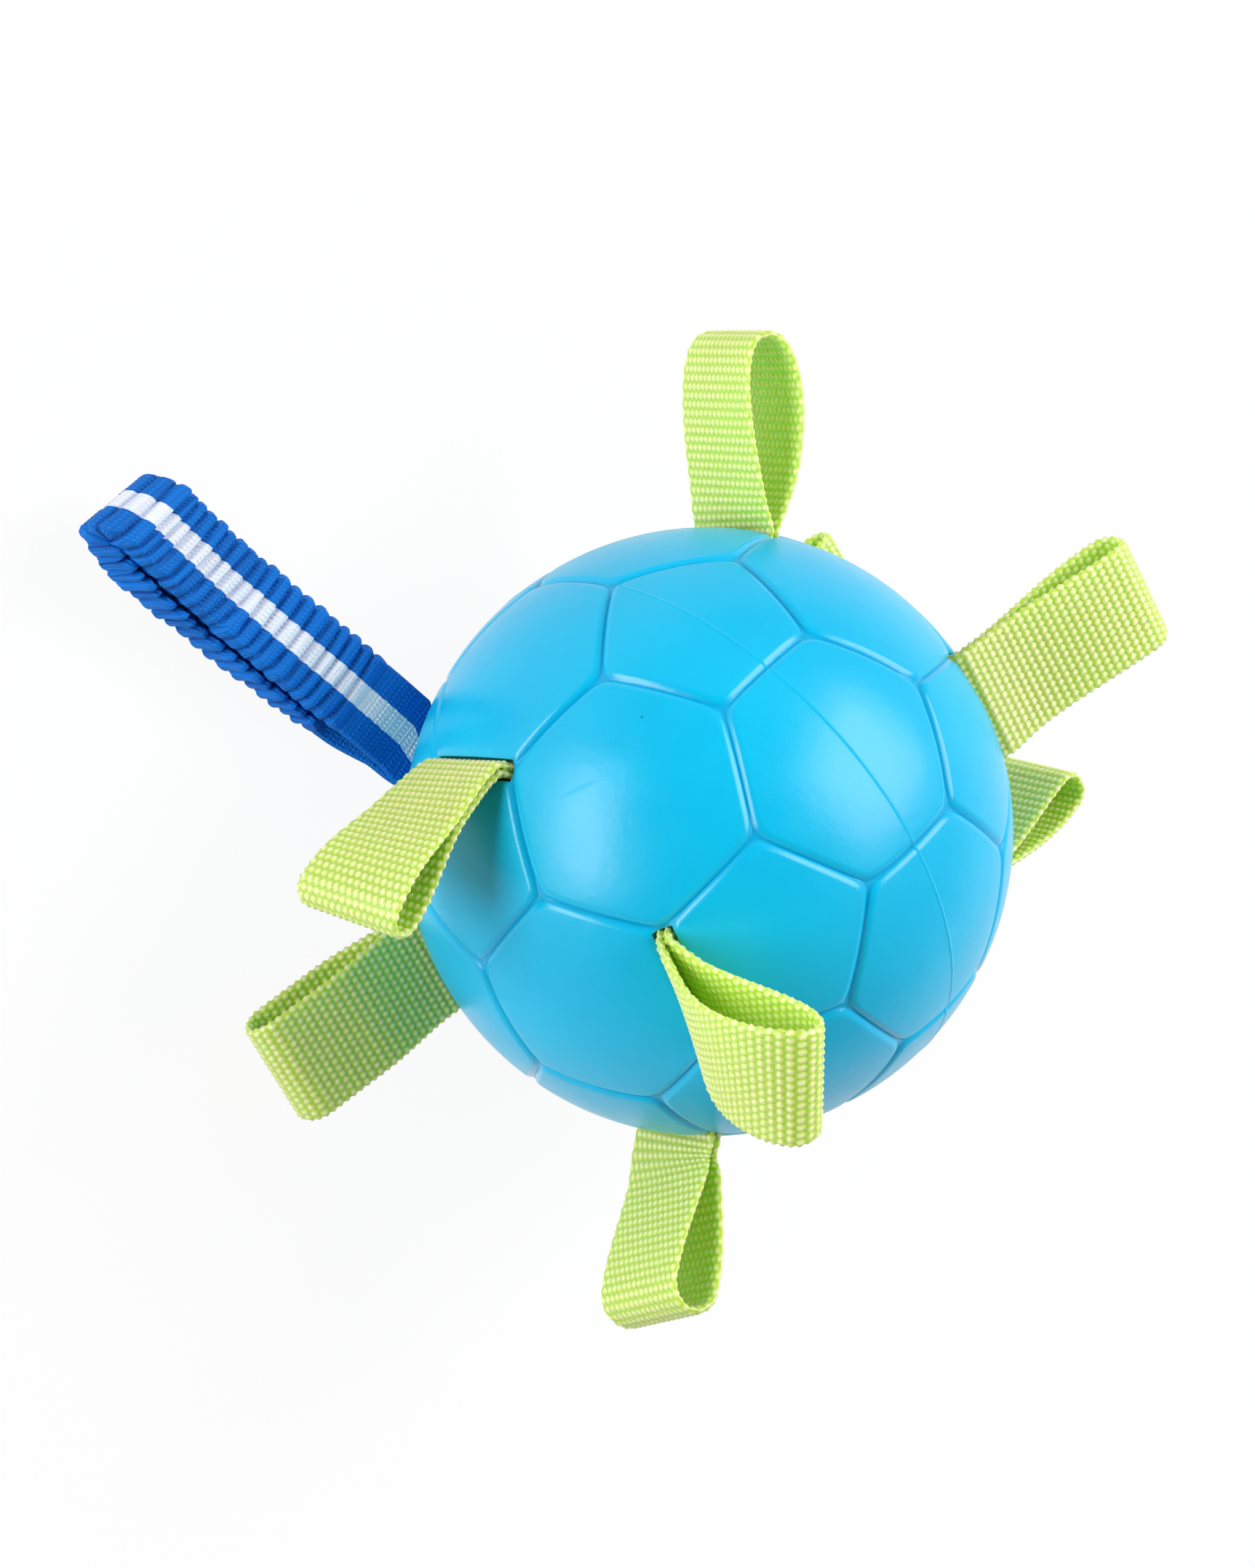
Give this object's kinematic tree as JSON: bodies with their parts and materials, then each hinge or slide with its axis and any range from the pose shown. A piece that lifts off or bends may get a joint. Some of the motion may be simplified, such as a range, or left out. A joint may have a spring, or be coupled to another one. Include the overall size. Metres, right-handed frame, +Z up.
{
  "type": "dog tug ball",
  "caption": "Hollow football-patterned dog ball with webbing pull loops held in slots in its seams and a gathered elastic tug handle.",
  "frame": {"origin": "centre of the ball", "axes": "+Z up as the ball lies in the picture, parting plane of the mould at Y = 0, front half at -Y, handle towards -X"},
  "size_m": [0.2274, 0.2171, 0.176],
  "materials": {
    "ball_rubber": "satin moulded rubber",
    "webbing_green": "woven nylon webbing",
    "webbing_blue": "gathered woven webbing, white centre stripe",
    "thread_green": "sewing thread",
    "thread_white": "sewing thread",
    "elastic_white": "knitted elastic",
    "rod_plastic": "plain plastic rod"
  },
  "bodies": {
    "ball": {"shell_front": "ball_rubber", "shell_rear": "ball_rubber", "tail_side_rear_left": "webbing_green", "tail_side_rear_right": "webbing_green", "tail_side_front_left": "webbing_green", "tail_side_front_right": "webbing_green", "tail_upper_rear": "webbing_green", "tail_upper_front": "webbing_green", "tail_lower_rear": "webbing_green", "tail_lower_front": "webbing_green", "rod_side_rear_left": "rod_plastic", "rod_side_rear_right": "rod_plastic", "rod_side_front_left": "rod_plastic", "rod_side_front_right": "rod_plastic", "rod_upper_rear": "rod_plastic", "rod_upper_front": "rod_plastic", "rod_lower_rear": "rod_plastic", "rod_lower_front": "rod_plastic", "loop_stitching": "thread_green", "handle_tail": "webbing_blue", "handle_rod": "rod_plastic"},
    "loop_side_rear_left": {"loop_side_rear_left": "webbing_green"},
    "loop_side_rear_right": {"loop_side_rear_right": "webbing_green"},
    "loop_side_front_left": {"loop_side_front_left": "webbing_green"},
    "loop_side_front_right": {"loop_side_front_right": "webbing_green"},
    "loop_upper_rear": {"loop_upper_rear": "webbing_green"},
    "loop_upper_front": {"loop_upper_front": "webbing_green"},
    "loop_lower_rear": {"loop_lower_rear": "webbing_green"},
    "loop_lower_front": {"loop_lower_front": "webbing_green"},
    "handle": {"handle_base": "webbing_blue", "handle_tack": "thread_white", "handle_sleeve_upper": "webbing_blue", "handle_sleeve_lower": "webbing_blue", "handle_elastic_upper": "elastic_white", "handle_elastic_lower": "elastic_white"},
    "handle_end": {"handle_sleeve_end": "webbing_blue", "handle_elastic_end": "elastic_white"}
  },
  "joints": [
    {"name": "loop_side_rear_left_bend", "type": "hinge", "parent": "ball", "child": "loop_side_rear_left", "pos_m": [-0.05709, 0.05107, 0], "axis": [0, 0, 1], "range_deg": [-72, 58], "stiffness_Nm_per_rad": 0.04},
    {"name": "loop_side_rear_right_bend", "type": "hinge", "parent": "ball", "child": "loop_side_rear_right", "pos_m": [0.05709, 0.05107, 0], "axis": [0, 0, 1], "range_deg": [-110, 19], "stiffness_Nm_per_rad": 0.04},
    {"name": "loop_side_front_left_bend", "type": "hinge", "parent": "ball", "child": "loop_side_front_left", "pos_m": [-0.05709, -0.05107, 0], "axis": [0, 0, 1], "range_deg": [-127, 5], "stiffness_Nm_per_rad": 0.04},
    {"name": "loop_side_front_right_bend", "type": "hinge", "parent": "ball", "child": "loop_side_front_right", "pos_m": [0.05709, -0.05107, 0], "axis": [0, 0, 1], "range_deg": [-54, 85], "stiffness_Nm_per_rad": 0.04},
    {"name": "loop_upper_rear_bend", "type": "hinge", "parent": "ball", "child": "loop_upper_rear", "pos_m": [0, 0.05709, 0.05107], "axis": [1, 0, 0], "range_deg": [-39, 97], "stiffness_Nm_per_rad": 0.04},
    {"name": "loop_upper_front_bend", "type": "hinge", "parent": "ball", "child": "loop_upper_front", "pos_m": [0, -0.05709, 0.05107], "axis": [1, 0, 0], "range_deg": [-36, 76], "stiffness_Nm_per_rad": 0.04},
    {"name": "loop_lower_rear_bend", "type": "hinge", "parent": "ball", "child": "loop_lower_rear", "pos_m": [0, 0.05709, -0.05107], "axis": [1, 0, 0], "range_deg": [-121, 19], "stiffness_Nm_per_rad": 0.04},
    {"name": "loop_lower_front_bend", "type": "hinge", "parent": "ball", "child": "loop_lower_front", "pos_m": [0, -0.05709, -0.05107], "axis": [1, 0, 0], "range_deg": [-40, 99], "stiffness_Nm_per_rad": 0.04},
    {"name": "handle_bend", "type": "hinge", "parent": "ball", "child": "handle", "pos_m": [-0.0383, -0.02367, -0.06197], "axis": [-0.809, 0.5, 0.309], "range_deg": [-110, 18], "stiffness_Nm_per_rad": 0.08},
    {"name": "handle_stretch", "type": "slide", "parent": "handle", "child": "handle_end", "axis": [-0.9212, -0.3836, 0.065], "range_m": [0, 0.045], "stiffness_N_per_m": 150, "deforming": ["handle_sleeve_upper", "handle_sleeve_lower", "handle_elastic_upper", "handle_elastic_lower"]}
  ]
}
